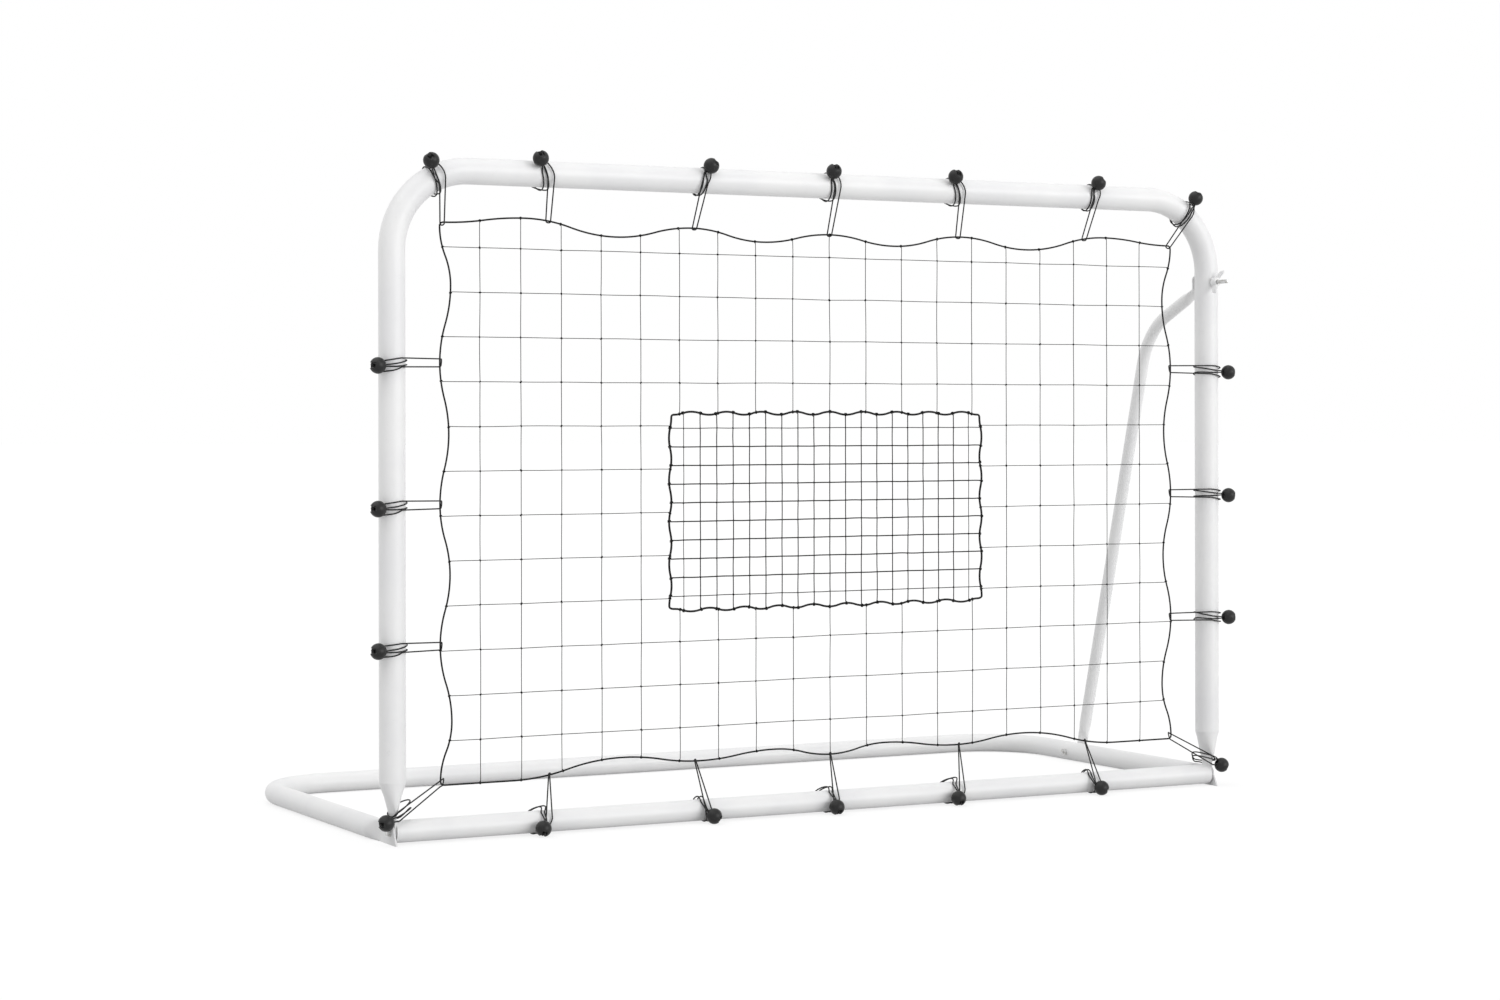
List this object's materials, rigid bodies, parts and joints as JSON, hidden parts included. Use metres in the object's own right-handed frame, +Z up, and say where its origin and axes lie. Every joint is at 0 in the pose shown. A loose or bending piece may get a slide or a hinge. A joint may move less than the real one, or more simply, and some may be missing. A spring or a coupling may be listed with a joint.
{
  "type": "pitch back rebounder",
  "caption": "Free-standing tube frame with a ball rebound net and a finer target net on elastic ball ties, folding U base and a clamped rear brace.",
  "frame": {"origin": "centre of the bounding box at floor level, midway between the uprights", "axes": "+X along the bars to the right of a player who faces the net, +Y back from the net towards the base's rear bar, +Z up"},
  "size_m": [1.8834, 0.8492, 1.2394],
  "materials": {
    "white_paint": "smooth white powder coat",
    "zinc": "zinc plated",
    "nut_grey": "grey moulded plastic over a metal thread",
    "net_twine": "black braided twine",
    "edge_cord": "black braided cord",
    "elastic_cord": "black elastic cord in a woven sleeve",
    "ball_plastic": "black moulded plastic, satin"
  },
  "bodies": {
    "base": {"left_side_tube": "white_paint", "right_side_tube": "white_paint", "rear_bar": "white_paint", "rear_joint_screws": "zinc", "brace_foot_bolt": "zinc", "brace_foot_nut": "zinc", "brace_foot_washer": "zinc"},
    "net_frame": {"left_upright": "white_paint", "right_upright": "white_paint", "top_bar": "white_paint", "front_bar": "white_paint", "top_joint_screws": "zinc", "corner_bolts": "zinc", "corner_washers": "zinc", "front_bar_plugs": "zinc", "clamp_stud": "zinc", "clamp_washer": "zinc", "net": "net_twine", "target_net": "net_twine", "net_edge_cord": "edge_cord", "target_edge_cord": "edge_cord", "top_tie_1": "elastic_cord", "top_tie_2": "elastic_cord", "top_tie_3": "elastic_cord", "top_tie_4": "elastic_cord", "top_tie_5": "elastic_cord", "top_tie_6": "elastic_cord", "top_tie_7": "elastic_cord", "left_tie_1": "elastic_cord", "left_tie_2": "elastic_cord", "left_tie_3": "elastic_cord", "right_tie_1": "elastic_cord", "right_tie_2": "elastic_cord", "right_tie_3": "elastic_cord", "bottom_tie_1": "elastic_cord", "bottom_tie_2": "elastic_cord", "bottom_tie_3": "elastic_cord", "bottom_tie_4": "elastic_cord", "bottom_tie_5": "elastic_cord", "bottom_tie_6": "elastic_cord", "bottom_tie_7": "elastic_cord", "top_balls": "ball_plastic", "left_balls": "ball_plastic", "right_balls": "ball_plastic", "bottom_balls": "ball_plastic"},
    "brace": {"rear_brace": "white_paint"},
    "wing_nut": {"wing_nut": "nut_grey"}
  },
  "joints": [
    {"name": "frame_fold", "type": "hinge", "parent": "base", "child": "net_frame", "pos_m": [0, -0.3506, 0.0227], "axis": [1, 0, 0], "range_deg": [0, 66]},
    {"name": "brace_fold", "type": "hinge", "parent": "base", "child": "brace", "pos_m": [0.9167, 0.1424, 0.02], "axis": [1, 0, 0], "range_deg": [-64.4, 0]},
    {"name": "wing_nut_spin", "type": "hinge", "parent": "net_frame", "child": "wing_nut", "pos_m": [0.891, -0.3896, 1.0327], "axis": [0, 1, 0], "continuous": true}
  ],
  "couplings": [
    {"joint": "brace_fold", "follows": "frame_fold", "ratio": -0.975}
  ]
}
